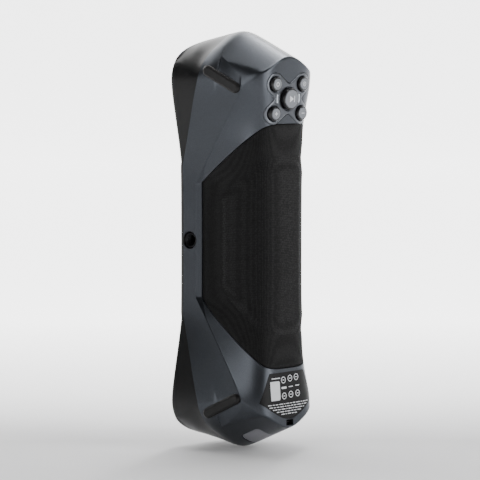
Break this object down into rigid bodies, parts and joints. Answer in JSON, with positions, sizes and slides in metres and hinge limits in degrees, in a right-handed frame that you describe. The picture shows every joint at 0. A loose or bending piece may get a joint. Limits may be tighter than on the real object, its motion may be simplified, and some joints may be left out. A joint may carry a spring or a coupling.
{
  "type": "handheld scanner",
  "caption": "Bone-shaped handheld structured-light scanner with a black front shell, grey rear shell, rubber grip, keypad and side feet.",
  "frame": {"origin": "middle of the body, between its front face and the back of its keypad, at half its length", "axes": "+Z along the body towards the keypad head, -Y the way the lenses look, +X the side with the tripod socket"},
  "size_m": [0.0598, 0.058, 0.216],
  "materials": {
    "band_plastic": "smooth matt",
    "barrel_black": "black anodised",
    "black_steel": "black oxide",
    "board_green": "solder mask",
    "bracket_black": "plain",
    "brass": "machined",
    "button_face": "fine satin",
    "button_plastic": "semi-gloss",
    "cover_grey": "soft matt",
    "foot_rubber": "matt",
    "frame_aluminium": "machined",
    "front_plastic": "satin, fine grain",
    "gasket_rubber": "matt",
    "grip_rubber": "pebbled, matt",
    "keypad_plastic": "metallic grey paint, satin",
    "label_black": "printed film",
    "laser_glass": "coated",
    "led_board": "white solder mask",
    "led_white": "translucent white",
    "lens_glass": "coated",
    "light_pipe": "clear, frosted face",
    "plunger_plastic": "plain",
    "rear_plastic": "metallic grey paint, satin",
    "silicone": "soft pad",
    "steel": "plain",
    "switch_plastic": "plain",
    "window_glass": "gloss, smoked"
  },
  "bodies": {
    "root": {"front_shell": "front_plastic", "rear_shell": "rear_plastic", "front_window": "window_glass", "window_gasket": "gasket_rubber", "grip_band": "band_plastic", "grip_pad": "grip_rubber", "keypad_plate": "keypad_plastic", "switch_housings": "switch_plastic", "button_board": "board_green", "button_board_screws": "steel", "light_pipes": "light_pipe", "status_leds": "led_white", "label_plate": "label_black", "upper_left_foot": "foot_rubber", "upper_right_foot": "foot_rubber", "lower_left_foot": "foot_rubber", "lower_right_foot": "foot_rubber", "tripod_insert": "black_steel", "strap_bar": "black_steel", "port_cover": "cover_grey", "port_bracket": "bracket_black", "data_port": "steel", "port_board": "board_green", "optical_frame": "frame_aluminium", "upper_camera_barrel": "barrel_black", "lower_camera_barrel": "barrel_black", "upper_camera_lens": "lens_glass", "lower_camera_lens": "lens_glass", "camera_boards": "board_green", "led_rings": "led_board", "ring_diffusers": "led_white", "colour_camera_barrel": "barrel_black", "colour_camera_lens": "lens_glass", "colour_camera_board": "board_green", "laser_modules": "brass", "laser_lenses": "laser_glass", "nir_projector": "bracket_black", "nir_projector_lens": "lens_glass", "board_standoffs": "brass", "main_board": "board_green", "processor": "bracket_black", "thermal_pad": "silicone", "heat_sink": "frame_aluminium", "internal_screws": "steel", "shell_screws": "steel"},
    "play": {"play_button": "button_plastic", "play_face": "button_face", "play_plunger": "plunger_plastic"},
    "upper_left": {"upper_left_button": "button_plastic", "upper_left_face": "button_face", "upper_left_plunger": "plunger_plastic"},
    "upper_right": {"upper_right_button": "button_plastic", "upper_right_face": "button_face", "upper_right_plunger": "plunger_plastic"},
    "lower_left": {"lower_left_button": "button_plastic", "lower_left_face": "button_face", "lower_left_plunger": "plunger_plastic"},
    "lower_right": {"lower_right_button": "button_plastic", "lower_right_face": "button_face", "lower_right_plunger": "plunger_plastic"}
  },
  "joints": [
    {"name": "play_press", "type": "slide", "parent": "root", "child": "play", "axis": [0, -0.9976, 0.0698], "range_m": [0, 0.0008], "stiffness_N_per_m": 600, "springref_m": -0.0005},
    {"name": "upper_left_press", "type": "slide", "parent": "root", "child": "upper_left", "axis": [0, -0.9976, 0.0698], "range_m": [0, 0.0008], "stiffness_N_per_m": 600, "springref_m": -0.0005},
    {"name": "upper_right_press", "type": "slide", "parent": "root", "child": "upper_right", "axis": [0, -0.9976, 0.0698], "range_m": [0, 0.0008], "stiffness_N_per_m": 600, "springref_m": -0.0005},
    {"name": "lower_left_press", "type": "slide", "parent": "root", "child": "lower_left", "axis": [0, -0.9976, 0.0698], "range_m": [0, 0.0008], "stiffness_N_per_m": 600, "springref_m": -0.0005},
    {"name": "lower_right_press", "type": "slide", "parent": "root", "child": "lower_right", "axis": [0, -0.9976, 0.0698], "range_m": [0, 0.0008], "stiffness_N_per_m": 600, "springref_m": -0.0005}
  ]
}
